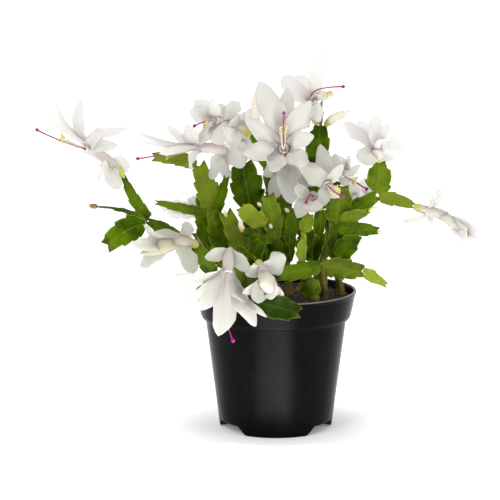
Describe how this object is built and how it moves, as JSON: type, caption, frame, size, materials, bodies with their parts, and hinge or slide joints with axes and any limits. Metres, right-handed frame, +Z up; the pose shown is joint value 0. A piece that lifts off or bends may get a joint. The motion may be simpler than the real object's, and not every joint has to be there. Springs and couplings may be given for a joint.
{
  "type": "potted christmas cactus",
  "caption": "White-flowered christmas cactus with arching flat toothed segments, growing in soil in a round black nursery pot.",
  "frame": {"origin": "middle of the pot's underside, on the ground", "axes": "+Z up the pot's axis; -Y towards the plant's front, where two flowers hang over the rim; +X to the right seen from the front"},
  "size_m": [0.3285, 0.1904, 0.2801],
  "materials": {
    "pot_plastic": "black injection-moulded plastic with a soft gloss",
    "potting_soil": "damp dark brown peat with fibres",
    "green_skin": "smooth waxy green skin, paler on edges and young growth",
    "white_petal": "thin satin white petal with a faint pink throat",
    "cream_bud": "satin cream-yellow bud"
  },
  "bodies": {
    "root": {"pot": "pot_plastic", "soil": "potting_soil", "shoot_left": "green_skin", "shoot_front_left": "green_skin", "shoot_mid_left": "green_skin", "shoot_inner": "green_skin", "shoot_centre": "green_skin", "shoot_centre_right": "green_skin", "shoot_slim": "green_skin", "shoot_right_tall": "green_skin", "shoot_right_low": "green_skin", "shoot_far_right": "green_skin", "shoot_back": "green_skin", "shoot_back_right": "green_skin", "shoot_back_left": "green_skin", "shoot_over_rim": "green_skin", "shoot_young": "green_skin", "pad_left_broad": "green_skin", "pad_left_thin": "green_skin", "pad_left_strap": "green_skin", "pad_front": "green_skin", "pad_front_side": "green_skin", "pad_front_low": "green_skin", "pad_left_lens": "green_skin", "pad_left_top": "green_skin", "pad_left_inner": "green_skin", "pad_top_centre": "green_skin", "pad_centre": "green_skin", "pad_low_centre": "green_skin", "pad_right_low": "green_skin", "pad_right_second": "green_skin", "pad_right_toothed": "green_skin", "pad_right_slim": "green_skin", "pad_right_mid": "green_skin", "pad_right_arm": "green_skin", "pad_right_top": "green_skin", "pad_back_top": "green_skin", "pad_back_right": "green_skin", "pad_back_left": "green_skin", "flower_left": "white_petal", "flower_left_centre": "white_petal", "flower_top_left": "white_petal", "flower_top_back": "white_petal", "flower_centre": "white_petal", "flower_top_right": "white_petal", "flower_right": "white_petal", "flower_mid_right": "white_petal", "flower_mid_back": "white_petal", "flower_low_centre": "white_petal", "flower_left_low": "white_petal", "flower_front": "white_petal", "flower_front_small": "white_petal", "flower_far_right": "white_petal", "flower_back_left": "white_petal", "flower_back": "white_petal", "flower_back_right": "white_petal", "bud_top": "cream_bud", "bud_right_top": "cream_bud", "bud_left": "cream_bud", "bud_right": "cream_bud"}
  },
  "joints": []
}
